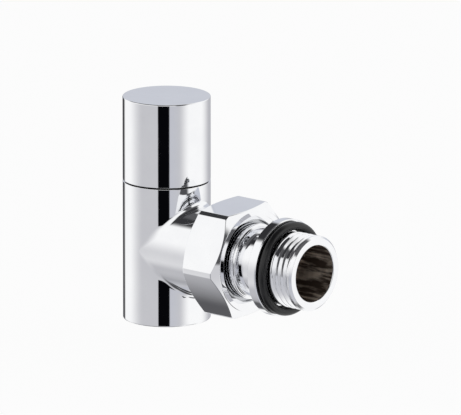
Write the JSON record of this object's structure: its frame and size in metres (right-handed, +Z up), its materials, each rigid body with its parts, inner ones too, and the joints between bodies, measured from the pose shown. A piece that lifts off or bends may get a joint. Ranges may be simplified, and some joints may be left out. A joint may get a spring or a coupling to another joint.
{
  "type": "lockshield valve",
  "caption": "Angle lockshield valve: round chromed body with a lift-off cap, hexagonal union nut and threaded radiator tail with a rubber seal.",
  "frame": {"origin": "centre of the pipe inlet's end face, on the pipe axis", "axes": "+Z up the pipe axis towards the cap, +X out along the radiator branch"},
  "size_m": [0.0649, 0.0328, 0.062],
  "materials": {
    "chrome": "mirror-polished chrome plate on brass",
    "brass": "turned, unplated",
    "steel": "plain spring steel",
    "rubber": "moulded black rubber",
    "plastic": "moulded grey plastic"
  },
  "bodies": {
    "valve": {"valve_body": "chrome", "bonnet": "brass", "bonnet_o_ring": "rubber", "cap_grip_ring": "rubber", "spindle_stop_ring": "steel"},
    "plug": {"seal_carrier": "brass", "swivel_ring": "steel", "seat_seal": "rubber", "seal_washer": "steel", "seal_screw": "steel"},
    "regulator": {"spindle": "brass", "spindle_o_ring_lower": "rubber", "spindle_o_ring_upper": "rubber"},
    "cap": {"cap_shell": "chrome", "cap_insert": "plastic"},
    "nut": {"union_nut": "chrome"},
    "tail": {"tailpiece": "chrome", "tail_split_ring": "steel", "union_o_ring": "rubber", "radiator_o_ring": "rubber"}
  },
  "joints": [
    {"name": "plug_lift", "type": "slide", "parent": "valve", "child": "plug", "axis": [0, 0, 1], "range_m": [0, 0.0035]},
    {"name": "spindle_turn", "type": "hinge", "parent": "plug", "child": "regulator", "pos_m": [0, 0, 0.0315], "axis": [0, 0, 1], "range_deg": [0, 1260]},
    {"name": "cap_lift", "type": "slide", "parent": "valve", "child": "cap", "axis": [0, 0, 1], "range_m": [0, 0.03]},
    {"name": "nut_turn", "type": "hinge", "parent": "valve", "child": "nut", "pos_m": [0.025, 0, 0.0208], "axis": [1, 0, 0], "continuous": true},
    {"name": "tail_swivel", "type": "hinge", "parent": "valve", "child": "tail", "pos_m": [0.04, 0, 0.0208], "axis": [1, 0, 0], "continuous": true}
  ],
  "couplings": [
    {"joint": "plug_lift", "follows": "spindle_turn", "m_per_rad": 0.00015915}
  ]
}
